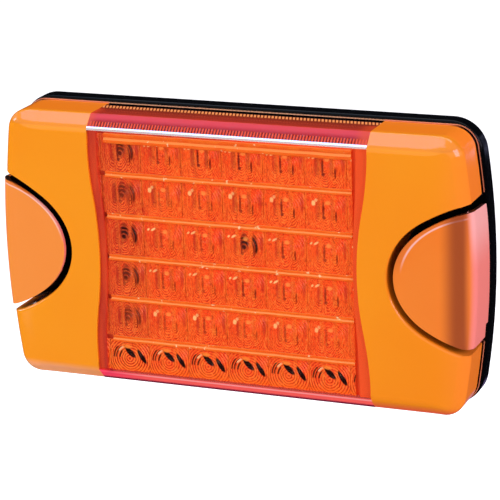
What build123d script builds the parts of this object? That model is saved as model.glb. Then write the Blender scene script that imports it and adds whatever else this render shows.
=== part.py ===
from build123d import *

import os
from math import atan, ceil, cos, sin, sqrt

os.makedirs("parts", exist_ok=True)

# An LED rear direction lamp for trailers, in millimetres. X runs along its width and Z points up.
# The mounting face lies in the plane y = 0 and the lamp faces -Y, so every height below is the
# distance from the mounting face towards the front.

# ---------------------------------------------------------------- whole lamp
lamp_width = 150.0
lamp_height = 85.5
lamp_depth = 22.0
end_bow_radius = 238.0
corner_radius = 10.0

# ---------------------------------------------------------------- base housing
rim_depth = 5.0
floor_thickness = 2.5
rim_width = 4.6
rim_edge_radius = 0.8
socket_wall = 1.4
socket_rise = 5.0
boss_radius = 7.0
boss_rise = 4.0
standoff_radius = 3.0
rest_radius = 2.2
rest_edge_distance = 5.3

# ---------------------------------------------------------------- cover: window and end panels
rim_step = 1.0
flange_thickness = 1.1
flange_step = 0.3
groove_width = 0.9
groove_depth = 0.6
cover_wall = 2.2
bevel = 3.9
panel_edge_radius = 1.2
panel_neck = 9.1
waist_depth = 2.9
waist_turn_z = 18.0
waist_end_z = 34.0

# ---------------------------------------------------------------- lens optics, inside the window
cell_pitch = 12.8
array_drop = 1.4
ledge_width = 1.4
ledge_rise = 1.1
relief_root = 0.3
cell_gap = 0.3
tile_thickness = 0.3
ring_pitch = 2.4
ring_rise = 0.3
ring_growth = 0.06
ring_riser = 0.12
rib_pitch = 1.2
rib_rise = 0.45
rib_margin = 3.0

# ---------------------------------------------------------------- screw pockets and their covers
pocket_reach = 25.3
pocket_centre_out = 2.7
pocket_half_height = 21.5
pocket_wall = 1.8
cap_gap = 2.1
cap_thickness = 1.8
cap_proud = 0.3
cap_end_inset = 0.6
cap_roll_radius = 7.0
cap_edge_radius = 0.6
cap_seat_gap = 0.3
leg_width = 5.0
leg_thickness = 1.6
leg_from_fixing = 2.5
leg_from_pocket_end = 10.0
leg_depth_in_base = 2.0
leg_clearance = 0.15
notch_width = 3.0
notch_height = 2.0

# ---------------------------------------------------------------- fixing sleeves
fixing_from_end = 11.0
sleeve_radius = 4.0
sleeve_bore_radius = 2.75
sleeve_clearance = 0.05

# ---------------------------------------------------------------- seal between base and cover
seal_width = 1.2
seal_height = 1.2
seal_clearance = 0.1

# ---------------------------------------------------------------- board, reflector and light sources
board_clearance = 0.9
board_thickness = 1.6
board_height_above_floor = 6.0
board_corner_radius = 3.0
reflector_depth = 6.5
cup_rear_radius = 2.9
cup_front_radius = 4.6
ear_height = 9.0
ear_thickness = 2.0
screw_side_distance = 2.2
screw_end_distance = 8.3
screw_radius = 1.25
screw_head_radius = 2.1
screw_head_height = 1.4
screw_length = 7.6
thread_clearance = 0.05
screw_hole_clearance = 0.2
screw_head_clearance = 0.7
led_size = 3.5
led_height = 1.6
dome_radius = 1.3

# ---------------------------------------------------------------- parts on the rear of the board
resistor_size = (6.4, 3.2, 0.6)
resistor_spacing = (9.0, 5.5)
resistor_counts = (3, 3)
resistor_position = (22.0, 12.0)
chip_size = (9.0, 7.6, 2.4)
chip_position = (-8.0, 12.0)
chip_pins_per_side = 4
chip_pin = (0.8, 1.6, 0.5)
chip_pin_pitch = 2.0
diode_size = (6.8, 5.8, 2.3)
diode_spacing = 9.0
diode_position = (-30.0, 14.0)
capacitor_radius = 4.0
capacitor_height = 4.6
capacitor_position = (24.0, -18.0)
terminal_radius = 0.8
terminal_length = 3.2
terminal_spacing = 5.0
terminal_count = 3
terminal_position = (-28.0, -8.0)

# ---------------------------------------------------------------- cable grommet and breather
grommet_position = (-28.0, -24.0)
grommet_bore_radius = 3.0
grommet_neck_radius = 5.9
grommet_flange_radius = 7.4
grommet_lip_height = 1.0
grommet_boss_radius = 8.6
grommet_boss_rise = 2.1
vent_position = (30.0, 24.0)
vent_neck_radius = 2.9
vent_cap_radius = 5.0
vent_neck_rise = 0.6
plug_recess_depth = 1.2
plug_sink = 0.1
plug_clearance = 0.1

# ---------------------------------------------------------------- heights and places that follow
wall_inset = rim_step + flange_step
cavity_inset = wall_inset + cover_wall
seal_inset = wall_inset + (cover_wall - seal_width) / 2
seal_growth = (pocket_wall + seal_width) / 2
inner_face = lamp_depth - cover_wall
board_rear = floor_thickness + board_height_above_floor
board_front = board_rear + board_thickness
led_front = board_front + led_height
ear_front = board_front + ear_thickness
boss_top = rim_depth + boss_rise
socket_top = rim_depth + socket_rise
cap_front = lamp_depth + cap_proud
cap_rear = rim_depth + cap_seat_gap
cap_inside = cap_front - cap_thickness
leg_tip = rim_depth - leg_depth_in_base
pocket_centre_x = lamp_width / 2 + pocket_centre_out
pocket_radius_x = pocket_reach + pocket_centre_out
fixing_spacing = lamp_width - 2 * fixing_from_end
leg_x = fixing_spacing / 2 - leg_from_fixing
leg_z = pocket_half_height - leg_from_pocket_end
waist_half_width = lamp_width / 2 - pocket_reach - panel_neck
window_half_width = waist_half_width + waist_depth
cell_columns = int(2 * waist_half_width / cell_pitch)
cell_rows = int((lamp_height - 2 * cavity_inset) / cell_pitch)
board_width = lamp_width - 2 * (pocket_reach + pocket_wall + board_clearance)
board_height = lamp_height - 2 * (cavity_inset + board_clearance)
screw_x = board_width / 2 - screw_side_distance
screw_z = board_height / 2 - screw_end_distance
rest_z = board_height / 2 - rest_edge_distance
reflector_width = 2 * (screw_x - screw_head_radius - screw_head_clearance)
grommet_boss_top = floor_thickness + grommet_boss_rise
sides = {"left": -1, "right": 1}


def front(height):
    """The plane parallel to the mounting face at this height, with its normal towards the front."""
    return Plane.XZ.offset(height)


def lamp_outline(height, inset):
    """The lamp's outline drawn in by inset: flat top and bottom, bowed ends and round corners."""
    half_height = lamp_height / 2 - inset
    half_width = lamp_width / 2 - inset
    bow = end_bow_radius - inset
    corner_x = half_width - bow + sqrt(bow**2 - half_height**2)
    with BuildSketch(front(height)) as outline:
        with BuildLine():
            Line((-corner_x, half_height), (corner_x, half_height))
            ThreePointArc((corner_x, half_height), (half_width, 0), (corner_x, -half_height))
            Line((corner_x, -half_height), (-corner_x, -half_height))
            ThreePointArc((-corner_x, -half_height), (-half_width, 0), (-corner_x, half_height))
        make_face()
        fillet(outline.vertices(), corner_radius - inset)
    return outline.sketch


def pocket_ellipse(height, side, growth):
    """The half-oval screw pocket's outline at one end, grown outwards by growth.

    The ellipse is turned so that its curve starts and ends outside the lamp.
    """
    seam_turn = 0 if side > 0 else 180
    with BuildSketch(front(height)) as ellipse:
        with Locations((side * pocket_centre_x, 0)):
            Ellipse(pocket_radius_x + growth, pocket_half_height + growth, rotation=seam_turn)
    return ellipse.sketch


def sealed_outline(height, inset, growth):
    """The lamp's outline drawn in by inset, less both screw pockets grown by growth."""
    outline = lamp_outline(height, inset)
    for side in sides.values():
        outline -= pocket_ellipse(height, side, growth)
    return outline


def seal_ring(height, clearance):
    """The seal's outline, a closed ring under the cover's wall, widened by clearance on each side."""
    outer = sealed_outline(height, seal_inset - clearance, seal_growth - seal_width - clearance)
    inner = sealed_outline(height, seal_inset + seal_width + clearance, seal_growth + clearance)
    return outer - inner


def window_outline(height):
    """The window's hourglass outline: each side is three tangent arcs between straight ends."""
    half_turn = atan(waist_depth / waist_end_z)
    outer_sag = (waist_end_z - waist_turn_z) * waist_depth / waist_end_z
    turn_x = window_half_width - outer_sag
    end_z = lamp_height
    with BuildSketch(front(height)) as outline:
        with BuildLine():
            Line((0, end_z), (window_half_width, end_z))
            Line((window_half_width, end_z), (window_half_width, waist_end_z))
            TangentArc(
                (window_half_width, waist_end_z), (turn_x, waist_turn_z), tangent=(0, -1)
            )
            ThreePointArc((turn_x, waist_turn_z), (waist_half_width, 0), (turn_x, -waist_turn_z))
            TangentArc(
                (turn_x, -waist_turn_z),
                (window_half_width, -waist_end_z),
                tangent=(sin(2 * half_turn), -cos(2 * half_turn)),
            )
            Line((window_half_width, -waist_end_z), (window_half_width, -end_z))
            Line((window_half_width, -end_z), (0, -end_z))
            mirror(about=Plane.YZ)
        make_face()
    return outline.sketch


def array_plane(height):
    """The plane at this height with its origin at the middle of the cell array."""
    return Plane((0, -height, -array_drop), x_dir=(1, 0, 0), z_dir=(0, -1, 0))


def cell_places():
    """The centres of the lens cells, which are also those of the light sources and the cups."""
    return GridLocations(cell_pitch, cell_pitch, cell_columns, cell_rows)


def screw_places():
    return GridLocations(2 * screw_x, 2 * screw_z, 2, 2)


def front_edges(part):
    return part.faces().sort_by(Axis.Y)[0].edges()


def save(part, name):
    part.label = name
    export_step(part, f"parts/{name}.step")


# ---------------------------------------------------------------- base housing
with BuildPart() as base_housing:
    extrude(lamp_outline(0, 0), amount=rim_depth)
    fillet(front_edges(base_housing), rim_edge_radius)
    extrude(
        sealed_outline(floor_thickness, rim_width, pocket_wall + seal_clearance),
        amount=rim_depth - floor_thickness,
        mode=Mode.SUBTRACT,
    )
    extrude(seal_ring(rim_depth, seal_clearance), amount=-seal_height, mode=Mode.SUBTRACT)
    # a boss for the grommet, and the posts that carry the board
    with BuildSketch(front(floor_thickness)):
        with Locations(grommet_position):
            Circle(grommet_boss_radius)
    extrude(amount=grommet_boss_rise)
    with BuildSketch(front(floor_thickness)):
        with screw_places():
            Circle(standoff_radius)
        with GridLocations(0, 2 * rest_z, 1, 2):
            Circle(rest_radius)
    extrude(amount=board_height_above_floor)
    with BuildSketch(front(board_rear)):
        with screw_places():
            Circle(screw_radius + thread_clearance)
    extrude(amount=-(board_rear - floor_thickness), mode=Mode.SUBTRACT)
    # in each screw pocket: a boss round the sleeve and two sockets for the screw cover's legs
    with BuildSketch(front(rim_depth)):
        with GridLocations(fixing_spacing, 0, 2, 1):
            Circle(boss_radius)
    extrude(amount=boss_rise)
    with BuildSketch(front(rim_depth)):
        with GridLocations(2 * leg_x, 2 * leg_z, 2, 2):
            Rectangle(
                leg_width + 2 * (leg_clearance + socket_wall),
                leg_thickness + 2 * (leg_clearance + socket_wall),
            )
    extrude(amount=socket_rise)
    with BuildSketch(front(socket_top)):
        with GridLocations(2 * leg_x, 2 * leg_z, 2, 2):
            Rectangle(leg_width + 2 * leg_clearance, leg_thickness + 2 * leg_clearance)
    extrude(amount=-(socket_top - leg_tip + cap_seat_gap), mode=Mode.SUBTRACT)
    with BuildSketch(front(0)):
        with GridLocations(fixing_spacing, 0, 2, 1):
            Circle(sleeve_radius + sleeve_clearance)
    extrude(amount=boss_top, mode=Mode.SUBTRACT)
    # seats for the grommet and the breather, sunk below the mounting face
    with BuildSketch(front(0)):
        with Locations(grommet_position):
            Circle(grommet_flange_radius + plug_clearance)
        with Locations(vent_position):
            Circle(vent_cap_radius + plug_clearance)
    extrude(amount=plug_recess_depth, mode=Mode.SUBTRACT)
    with BuildSketch(front(0)):
        with Locations(grommet_position):
            Circle(grommet_neck_radius + plug_clearance)
        with Locations(vent_position):
            Circle(vent_neck_radius + plug_clearance)
    extrude(amount=grommet_boss_top, mode=Mode.SUBTRACT)
save(base_housing.part, "base_housing")

# ---------------------------------------------------------------- seal
with BuildPart() as lens_seal:
    extrude(seal_ring(rim_depth - seal_height, 0), amount=seal_height)
save(lens_seal.part, "lens_seal")

# ---------------------------------------------------------------- cover
with BuildPart() as cover_cavity:
    extrude(lamp_outline(rim_depth, cavity_inset), amount=inner_face - rim_depth)
    chamfer(front_edges(cover_cavity), bevel - (sqrt(2) - 1) * cover_wall)
    for side in sides.values():
        extrude(
            pocket_ellipse(rim_depth, side, pocket_wall),
            amount=inner_face - rim_depth,
            mode=Mode.SUBTRACT,
        )


def cover_blank(edge_radius):
    """The hollow cover in one piece: flange, groove, wall and bevel, open at both screw pockets."""
    groove_start = rim_depth + flange_thickness
    with BuildPart() as blank:
        extrude(
            lamp_outline(groove_start + groove_width, wall_inset),
            amount=lamp_depth - groove_start - groove_width,
        )
        chamfer(front_edges(blank), bevel)
        if edge_radius:
            fillet(front_edges(blank), edge_radius)
        extrude(lamp_outline(rim_depth, rim_step), amount=flange_thickness)
        extrude(lamp_outline(groove_start, wall_inset + groove_depth), amount=groove_width)
        add(cover_cavity.part, mode=Mode.SUBTRACT)
        for side in sides.values():
            extrude(
                pocket_ellipse(rim_depth, side, 0),
                amount=lamp_depth - rim_depth,
                mode=Mode.SUBTRACT,
            )
    return blank.part


# ---------------------------------------------------------------- clear window
# one lens cell: a square tile of ring-shaped prisms that stand on the window's inner face
with BuildPart() as lens_cell:
    ring_count = ceil(cell_pitch / sqrt(2) / ring_pitch)
    with BuildSketch(Plane.XZ):
        with BuildLine():
            profile = [(0, relief_root), (0, -tile_thickness)]
            for ring in range(ring_count):
                start = ring * ring_pitch
                rise = ring_rise + ring_growth * ring
                profile.append((start + ring_riser, -tile_thickness - rise))
                profile.append((start + ring_pitch, -tile_thickness))
            profile.append((ring_count * ring_pitch, relief_root))
            Polyline(*profile, close=True)
        make_face()
    revolve(axis=Axis.Z)
    with BuildSketch(Plane.XY.offset(-lamp_depth)):
        Rectangle(cell_pitch - cell_gap, cell_pitch - ledge_width - cell_gap)
    extrude(amount=2 * lamp_depth, mode=Mode.INTERSECT)

rib_count = int(2 * (window_half_width - rib_margin) / rib_pitch)
rib_start = rim_depth + flange_thickness + groove_width
with BuildPart() as centre_lens:
    add(cover_blank(0))
    extrude(window_outline(0), amount=lamp_depth, mode=Mode.INTERSECT)
    # a ledge above each row of cells
    with BuildSketch(array_plane(inner_face - ledge_rise)):
        with Locations((0, cell_pitch / 2)):
            with GridLocations(0, cell_pitch, 1, cell_rows):
                Rectangle(cell_columns * cell_pitch, ledge_width)
    extrude(amount=ledge_rise + relief_root)
    with Locations(array_plane(inner_face)):
        with cell_places():
            add(lens_cell.part)
    # fine ribs along the inside of the top and bottom walls
    with BuildSketch(front(rib_start)):
        with BuildLine():
            wall_z = lamp_height / 2 - cavity_inset
            end_x = rib_count * rib_pitch / 2
            zigzag = [(-end_x, wall_z + relief_root)]
            for rib in range(rib_count):
                start = rib * rib_pitch - end_x
                zigzag.append((start, wall_z))
                zigzag.append((start + rib_pitch / 2, wall_z - rib_rise))
            zigzag.append((end_x, wall_z))
            zigzag.append((end_x, wall_z + relief_root))
            Polyline(*zigzag, close=True)
        make_face()
        mirror(about=Plane.XZ)
    extrude(amount=inner_face - bevel / 2 - rib_start)
save(centre_lens.part, "centre_lens")

# ---------------------------------------------------------------- orange end panels
panel_blank = cover_blank(panel_edge_radius)
for name, side in sides.items():
    with BuildPart() as end_panel:
        add(panel_blank)
        extrude(window_outline(0), amount=lamp_depth, mode=Mode.SUBTRACT)
        with BuildSketch(front(0)):
            with Locations((side * lamp_width / 2, 0)):
                Rectangle(lamp_width, lamp_height)
        extrude(amount=lamp_depth, mode=Mode.INTERSECT)
    save(end_panel.part, f"{name}_end_panel")

# ---------------------------------------------------------------- push-on screw covers
with BuildPart() as cap_core:
    extrude(lamp_outline(0, cap_end_inset + cap_thickness), amount=cap_inside)
    fillet(front_edges(cap_core), cap_roll_radius - cap_thickness)

for name, side in sides.items():
    with BuildPart() as screw_cover:
        extrude(lamp_outline(cap_rear, cap_end_inset), amount=cap_front - cap_rear)
        fillet(front_edges(screw_cover), cap_roll_radius)
        extrude(pocket_ellipse(0, side, -cap_gap), amount=cap_front, mode=Mode.INTERSECT)
        # round the oval edge: every edge but the rear ones and the smooth ones along the roll
        sharp = screw_cover.edges().filter_by(GeomType.CIRCLE, reverse=True)
        oval = sharp.filter_by_position(Axis.Y, -cap_front, -cap_rear, (True, False))
        fillet(oval, cap_edge_radius)
        add(cap_core.part, mode=Mode.SUBTRACT)
        # two legs that push into the base's sockets
        with BuildSketch(front(leg_tip)):
            with Locations((side * leg_x, 0)):
                with GridLocations(0, 2 * leg_z, 1, 2):
                    Rectangle(leg_width, leg_thickness)
        extrude(amount=cap_front - cap_thickness / 2 - leg_tip)
        # notch for prising the cover off, at its lower end on the rim
        with BuildSketch(front(cap_rear)):
            with Locations((side * lamp_width / 2, -pocket_half_height + cap_gap)):
                Rectangle(2 * notch_width, 2 * notch_width)
        extrude(amount=notch_height, mode=Mode.SUBTRACT)
    save(screw_cover.part, f"{name}_screw_cover")

# ---------------------------------------------------------------- fixing sleeves
for name, side in sides.items():
    with BuildPart() as sleeve:
        with BuildSketch(front(0)):
            with Locations((side * fixing_spacing / 2, 0)):
                Circle(sleeve_radius)
                Circle(sleeve_bore_radius, mode=Mode.SUBTRACT)
        extrude(amount=boss_top)
    save(sleeve.part, f"{name}_sleeve")

# ---------------------------------------------------------------- board and reflector
with BuildPart() as led_board:
    with BuildSketch(front(board_rear)):
        RectangleRounded(board_width, board_height, board_corner_radius)
        with screw_places():
            Circle(screw_radius + screw_hole_clearance, mode=Mode.SUBTRACT)
    extrude(amount=board_thickness)
save(led_board.part, "led_board")

with BuildPart() as reflector_plate:
    with BuildSketch(front(board_front)):
        Rectangle(reflector_width, board_height)
    extrude(amount=reflector_depth)
    # ears that the screws hold down
    with BuildSketch(front(board_front)):
        with GridLocations(0, 2 * screw_z, 1, 2):
            Rectangle(board_width, ear_height)
    extrude(amount=ear_thickness)
    with Locations(array_plane(board_front + reflector_depth / 2)):
        with cell_places():
            Cone(cup_rear_radius, cup_front_radius, reflector_depth, mode=Mode.SUBTRACT)
    with BuildSketch(front(board_front)):
        with screw_places():
            Circle(screw_radius + screw_hole_clearance)
    extrude(amount=ear_thickness, mode=Mode.SUBTRACT)
save(reflector_plate.part, "reflector_plate")

with BuildPart() as led_bodies:
    with BuildSketch(array_plane(board_front)):
        with cell_places():
            Rectangle(led_size, led_size)
    extrude(amount=led_height)
save(led_bodies.part, "led_bodies")

with BuildPart() as led_domes:
    with Locations(array_plane(led_front)):
        with cell_places():
            Sphere(dome_radius, arc_size1=0, align=(Align.CENTER, Align.CENTER, Align.MIN))
save(led_domes.part, "led_domes")

with BuildPart() as board_screws:
    with BuildSketch(front(ear_front)):
        with screw_places():
            Circle(screw_head_radius)
    extrude(amount=screw_head_height)
    with BuildSketch(front(ear_front)):
        with screw_places():
            Circle(screw_radius)
    extrude(amount=-screw_length)
save(board_screws.part, "board_screws")

# ---------------------------------------------------------------- parts on the rear of the board
with BuildPart() as resistors:
    length, width, height = resistor_size
    with BuildSketch(front(board_rear)):
        with Locations(resistor_position):
            with GridLocations(*resistor_spacing, *resistor_counts):
                Rectangle(length, width)
    extrude(amount=-height)
save(resistors.part, "resistors")

with BuildPart() as driver_chip:
    length, width, height = chip_size
    pin_width, pin_length, pin_height = chip_pin
    with BuildSketch(front(board_rear)):
        with Locations(chip_position):
            Rectangle(length, width)
    extrude(amount=-height)
    with BuildSketch(front(board_rear)):
        with Locations(chip_position):
            with GridLocations(chip_pin_pitch, 0, chip_pins_per_side, 1):
                Rectangle(pin_width, width + 2 * pin_length)
    extrude(amount=-pin_height)
save(driver_chip.part, "driver_chip")

with BuildPart() as diodes:
    length, width, height = diode_size
    with BuildSketch(front(board_rear)):
        with Locations(diode_position):
            with GridLocations(0, diode_spacing, 1, 2):
                Rectangle(length, width)
    extrude(amount=-height)
save(diodes.part, "diodes")

with BuildPart() as capacitor:
    with BuildSketch(front(board_rear)):
        with Locations(capacitor_position):
            Circle(capacitor_radius)
    extrude(amount=-capacitor_height)
save(capacitor.part, "capacitor")

with BuildPart() as wire_terminals:
    with BuildSketch(front(board_rear)):
        with Locations(terminal_position):
            with GridLocations(terminal_spacing, 0, terminal_count, 1):
                Circle(terminal_radius)
    extrude(amount=-terminal_length)
save(wire_terminals.part, "wire_terminals")

# ---------------------------------------------------------------- cable grommet and breather
with BuildPart() as cable_grommet:
    with BuildSketch(front(plug_sink)):
        with Locations(grommet_position):
            Circle(grommet_flange_radius)
    extrude(amount=plug_recess_depth - plug_sink)
    with BuildSketch(front(plug_recess_depth)):
        with Locations(grommet_position):
            Circle(grommet_neck_radius)
    extrude(amount=grommet_boss_top - plug_recess_depth)
    with BuildSketch(front(grommet_boss_top)):
        with Locations(grommet_position):
            Circle(grommet_flange_radius)
    extrude(amount=grommet_lip_height)
    with BuildSketch(front(0)):
        with Locations(grommet_position):
            Circle(grommet_bore_radius)
    extrude(amount=board_rear, mode=Mode.SUBTRACT)
save(cable_grommet.part, "cable_grommet")

with BuildPart() as vent_plug:
    with BuildSketch(front(plug_sink)):
        with Locations(vent_position):
            Circle(vent_cap_radius)
    extrude(amount=plug_recess_depth - plug_sink)
    with BuildSketch(front(plug_recess_depth)):
        with Locations(vent_position):
            Circle(vent_neck_radius)
    extrude(amount=floor_thickness + vent_neck_rise - plug_recess_depth)
save(vent_plug.part, "vent_plug")
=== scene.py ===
import contextlib
import math

import bmesh
import bpy
import numpy as np
from mathutils import Matrix, Vector


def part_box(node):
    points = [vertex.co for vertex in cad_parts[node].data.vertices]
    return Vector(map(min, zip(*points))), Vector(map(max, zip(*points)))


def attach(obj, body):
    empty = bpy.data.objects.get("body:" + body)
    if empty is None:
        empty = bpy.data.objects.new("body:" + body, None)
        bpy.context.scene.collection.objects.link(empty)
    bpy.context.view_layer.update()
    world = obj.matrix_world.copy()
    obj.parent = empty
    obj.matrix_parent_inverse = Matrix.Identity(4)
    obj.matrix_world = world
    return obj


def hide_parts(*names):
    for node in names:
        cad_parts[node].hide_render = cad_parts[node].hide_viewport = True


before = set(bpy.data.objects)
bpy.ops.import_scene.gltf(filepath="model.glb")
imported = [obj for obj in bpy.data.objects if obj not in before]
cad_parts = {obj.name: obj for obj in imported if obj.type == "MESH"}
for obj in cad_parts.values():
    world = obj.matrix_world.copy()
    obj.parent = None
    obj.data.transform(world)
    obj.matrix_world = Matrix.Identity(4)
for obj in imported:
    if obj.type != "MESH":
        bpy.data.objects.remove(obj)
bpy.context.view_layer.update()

# An LED rear direction lamp for trailers. Lengths are in millimetres unless they say metres.
# Points are (x, height, z): x along the width, height from the mounting face to the front.
MM = 0.001

# -------- sizes of the lamp
base_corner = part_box("base_housing")[1]
half_width = base_corner.x / MM
half_height = base_corner.z / MM
lamp_depth = 22.0
end_bow_radius = 238.0
corner_radius = 8.0
rim_depth = 5.0
lip_outer = 1.0
lip_inner = 1.25
lip_top = 5.5
lip_rounding = 0.1
groove_floor = 5.15
groove_inset = 1.9
groove_top = 7.0
closed_groove_top = 5.3
wall_inset = 1.3
cover_wall = 2.2
bevel = 3.9
side_radius = 3.4
turn_start = 60.0
turn_end = 72.5
crown_start = 58.0
crown_radius = 62.0
crown_foot = 9.0
crown_rise = 12.0
waist_drift = 0.7
pocket_drift = 0.9
pocket_flare = 0.06
pocket_flare_start = 60.0
window_half_width = 43.5
waist_depth = 2.9
waist_turn_z = 18.0
waist_end_z = 34.0
pocket_centre_x = 77.7
pocket_radius_x = 28.0
pocket_radius_z = 21.5
pocket_wall = 1.8
pocket_rounding = 0.35
pocket_corner_rounding = 0.75
cap_gap = 2.1
cap_front = 22.3
cap_rear = 5.3
cap_inset = 0.6
cap_roll_radius = 4.5
cap_thickness = 1.3
cap_edge_radius = 0.8
cap_wall_draw = 0.9
cap_corner_radius = 1.1
leg_x = 61.5
leg_z = 11.5
leg_width = 5.0
leg_thickness = 1.6
leg_tip = 3.0
notch_width = 3.0
notch_height = 2.0
cell_pitch = 12.8
cell_count = 6
overcut = 1.0
weld_distance = 0.002
cavity_inset = wall_inset + cover_wall
inner_face = lamp_depth - cover_wall
inner_bevel = bevel - (math.sqrt(2) - 1) * cover_wall
cap_reach_x = pocket_radius_x - cap_gap
cap_reach_z = pocket_radius_z - cap_gap


# -------- outlines
def smooth(share):
    """0 to 1 with soft ends; what lies outside is held at 0 or 1."""
    share = min(1.0, max(0.0, share))
    return share * share * (3 - 2 * share)


def outline_frames(corner_steps=24, bow_steps=24, edge_start=50.0, edge_steps=8):
    """Once round the lamp's outline: for each point its arc's centre, radius and angle."""
    corner_z = half_height - corner_radius
    reach = math.sqrt((end_bow_radius - corner_radius) ** 2 - corner_z**2)
    bow_x = half_width - end_bow_radius
    meet = math.atan2(corner_z, reach)
    corner = (bow_x + reach, corner_z)
    edge = np.linspace(edge_start, corner[0], edge_steps + 1)[:-1]
    corner_angles = np.linspace(math.pi / 2, meet, corner_steps + 1)
    bow_angles = np.linspace(meet, -meet, bow_steps + 1)[1:-1]
    upper = [((x, corner_z), corner_radius, math.pi / 2) for x in edge]
    upper += [(corner, corner_radius, angle) for angle in corner_angles]
    side = [((bow_x, 0.0), end_bow_radius, angle) for angle in bow_angles]
    lower = [((x, -z), radius, -angle) for (x, z), radius, angle in reversed(upper)]
    right = upper + side + lower
    left = [((-x, z), radius, math.pi - angle) for (x, z), radius, angle in reversed(right)]
    return right + left


def drawn_in(frame_point, inset):
    """The outline's point (x, z) drawn in by inset."""
    (x, z), radius, angle = frame_point
    return x + (radius - inset) * math.cos(angle), z + (radius - inset) * math.sin(angle)


def once_round(steps):
    """The angles of this many steps round a circle."""
    return np.linspace(0, 2 * math.pi, steps + 1)[:-1]


def flare(x):
    """How much taller the screw pocket grows towards the lamp's side."""
    along = (x - pocket_flare_start) / (half_width - pocket_flare_start)
    return 1 + pocket_flare * smooth(along)


def oval(centre_x, grown, steps=144):
    """The right-hand pocket's outline, grown by this much."""
    points = []
    for angle in once_round(steps):
        x = centre_x + (pocket_radius_x + grown) * math.cos(angle)
        points.append((x, (pocket_radius_z + grown) * flare(x) * math.sin(angle)))
    return points


def window_side(z):
    """The window's half width at z: three tangent arcs between straight ends."""
    z = abs(z)
    chord = waist_end_z - waist_turn_z
    outer_sag = chord * waist_depth / waist_end_z
    if z >= waist_end_z:
        return window_half_width
    if z >= waist_turn_z:
        radius = (chord**2 + outer_sag**2) / (2 * outer_sag)
        return window_half_width - radius + math.sqrt(radius**2 - (waist_end_z - z) ** 2)
    sag = waist_depth - outer_sag
    radius = (waist_turn_z**2 + sag**2) / (2 * sag)
    return window_half_width - waist_depth + radius - math.sqrt(radius**2 - z**2)


def window_ends(z):
    """The window's left and right ends at z; the waist leans a little to the left."""
    drift = waist_drift * max(0.0, 1 - (z / waist_end_z) ** 2)
    return -window_side(z) - drift, window_side(z) - drift


def crown(x):
    """How far the front falls back near the lamp's ends."""
    along = max(0.0, abs(x) - crown_start)
    return crown_radius - math.sqrt(crown_radius**2 - along**2)


def rounded_path(corners, radii, steps=5):
    """A path of 2-D points through corners, each rounded by its radius; 0 keeps it sharp."""
    path = []
    for index, (corner, radius) in enumerate(zip(corners, radii)):
        here = Vector(corner)
        if radius == 0 or index in (0, len(corners) - 1):
            path.append(tuple(here))
            continue
        to_last = (Vector(corners[index - 1]) - here).normalized()
        to_next = (Vector(corners[index + 1]) - here).normalized()
        half_angle = to_last.angle(to_next) / 2
        centre = here + (to_last + to_next).normalized() * (radius / math.sin(half_angle))
        start = here + to_last * (radius / math.tan(half_angle)) - centre
        end = here + to_next * (radius / math.tan(half_angle)) - centre
        sweep = math.copysign(math.pi - 2 * half_angle, start.x * end.y - start.y * end.x)
        for step in range(steps + 1):
            turned = Matrix.Rotation(sweep * step / steps, 2) @ start
            path.append(tuple(centre + turned))
    return path


def travel(path):
    """The distance along a path at each of its points."""
    spans = [math.dist(first, second) for first, second in zip(path, path[1:])]
    return np.concatenate([[0], np.cumsum(spans)])


def along_path(path, distances):
    """The places on a path, as pairs of floats, at these distances along it."""
    reached = travel(path)
    return list(zip(*(np.interp(distances, reached, axis).tolist() for axis in zip(*path))))


# -------- meshes
@contextlib.contextmanager
def opened(piece):
    """The piece's mesh, open for changes, which are written back at the end."""
    work = bmesh.new()
    work.from_mesh(piece.data)
    yield work
    work.to_mesh(piece.data)
    work.free()


def slice_mesh(work, normal, reach, clear=False):
    """Cuts a mesh along a plane this far out; clear also removes what lies beyond it."""
    bmesh.ops.bisect_plane(
        work,
        geom=work.verts[:] + work.edges[:] + work.faces[:],
        plane_co=Vector(normal) * reach,
        plane_no=normal,
        clear_outer=clear,
    )


def mesh_lists(work):
    """The points and faces of a mesh, which is then freed."""
    work.verts.index_update()
    points = [tuple(vert.co) for vert in work.verts]
    faces = [tuple(vert.index for vert in face.verts) for face in work.faces]
    work.free()
    return points, faces


def grid_faces(rows, columns, closed=False):
    """Quads between rows of columns + 1 points; closed joins the last row to the first."""
    width = columns + 1
    faces = []
    for row in range(rows if closed else rows - 1):
        low, high = row * width, (row + 1) % rows * width
        faces += [(low + c, low + c + 1, high + c + 1, high + c) for c in range(columns)]
    return faces


def tube_faces(rings, count, start=0):
    """The skin of a tube through rings of count points each, capped at both ends."""
    end = start + rings * count
    faces = [tuple(range(start, start + count)), tuple(range(end - count, end))]
    for low in range(start, end - count, count):
        high = low + count
        for index in range(count):
            after = (index + 1) % count
            faces.append((low + index, low + after, high + after, high + index))
    return faces


def tidy_mesh(piece, sharp_degrees=30):
    """Welds doubles, turns the faces outwards and shades smooth up to sharp_degrees."""
    limit = math.radians(sharp_degrees)
    with opened(piece) as work:
        bmesh.ops.remove_doubles(work, verts=work.verts, dist=weld_distance * MM)
        bmesh.ops.dissolve_degenerate(work, edges=work.edges, dist=weld_distance * MM)
        bmesh.ops.recalc_face_normals(work, faces=work.faces)
        for face in work.faces:
            face.smooth = True
        for edge in work.edges:
            edge.smooth = edge.is_manifold and edge.calc_face_angle(math.pi) < limit


def add_object(name, data):
    """A new object in the scene with this mesh, light or camera."""
    piece = bpy.data.objects.new(name, data)
    bpy.context.scene.collection.objects.link(piece)
    return piece


def make_object(name, points, faces, sharp_degrees=30):
    """A mesh object from points (x, height, z), shaded smooth up to sharp_degrees."""
    mesh = bpy.data.meshes.new(name)
    mesh.from_pydata([(x * MM, -height * MM, z * MM) for x, height, z in points], [], faces)
    piece = add_object(name, mesh)
    tidy_mesh(piece, sharp_degrees)
    return piece


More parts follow.
